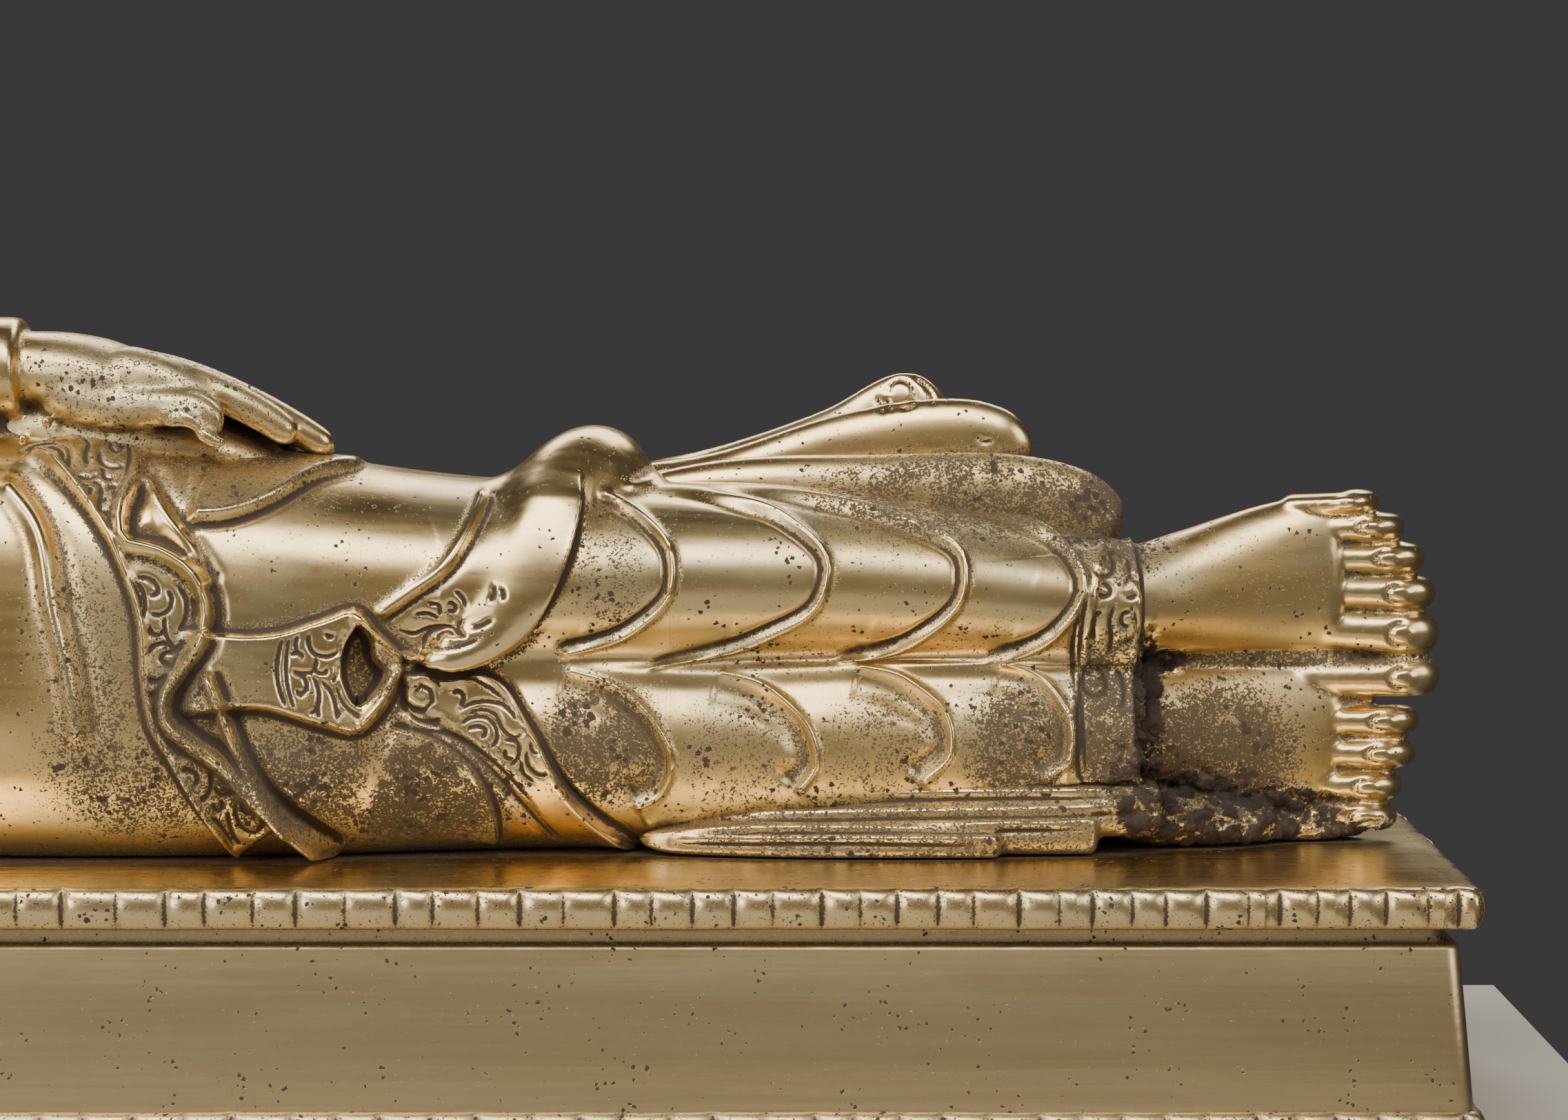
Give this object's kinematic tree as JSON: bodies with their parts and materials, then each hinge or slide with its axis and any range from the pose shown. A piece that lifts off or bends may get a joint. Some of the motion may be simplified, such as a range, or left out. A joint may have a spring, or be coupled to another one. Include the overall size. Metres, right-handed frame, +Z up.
{
  "type": "reclining buddha statue",
  "caption": "Cast brass statue of the Buddha reclining on the right side, head on hand and cushion, robe with looped folds and engraved hems, on a low oblong throne.",
  "frame": {"origin": "centre of the throne's underside", "axes": "+Z up, +X towards the toes, -Y the side that the figure faces"},
  "size_m": [0.3208, 0.0768, 0.1054],
  "materials": {
    "polished_brass": "worn polish, brown dirt in the recesses and small casting pits",
    "brushed_brass": "satin, brushed along its length, with greenish grey patches"
  },
  "bodies": {
    "root": {"figure": "polished_brass", "throne": "brushed_brass"}
  },
  "joints": []
}
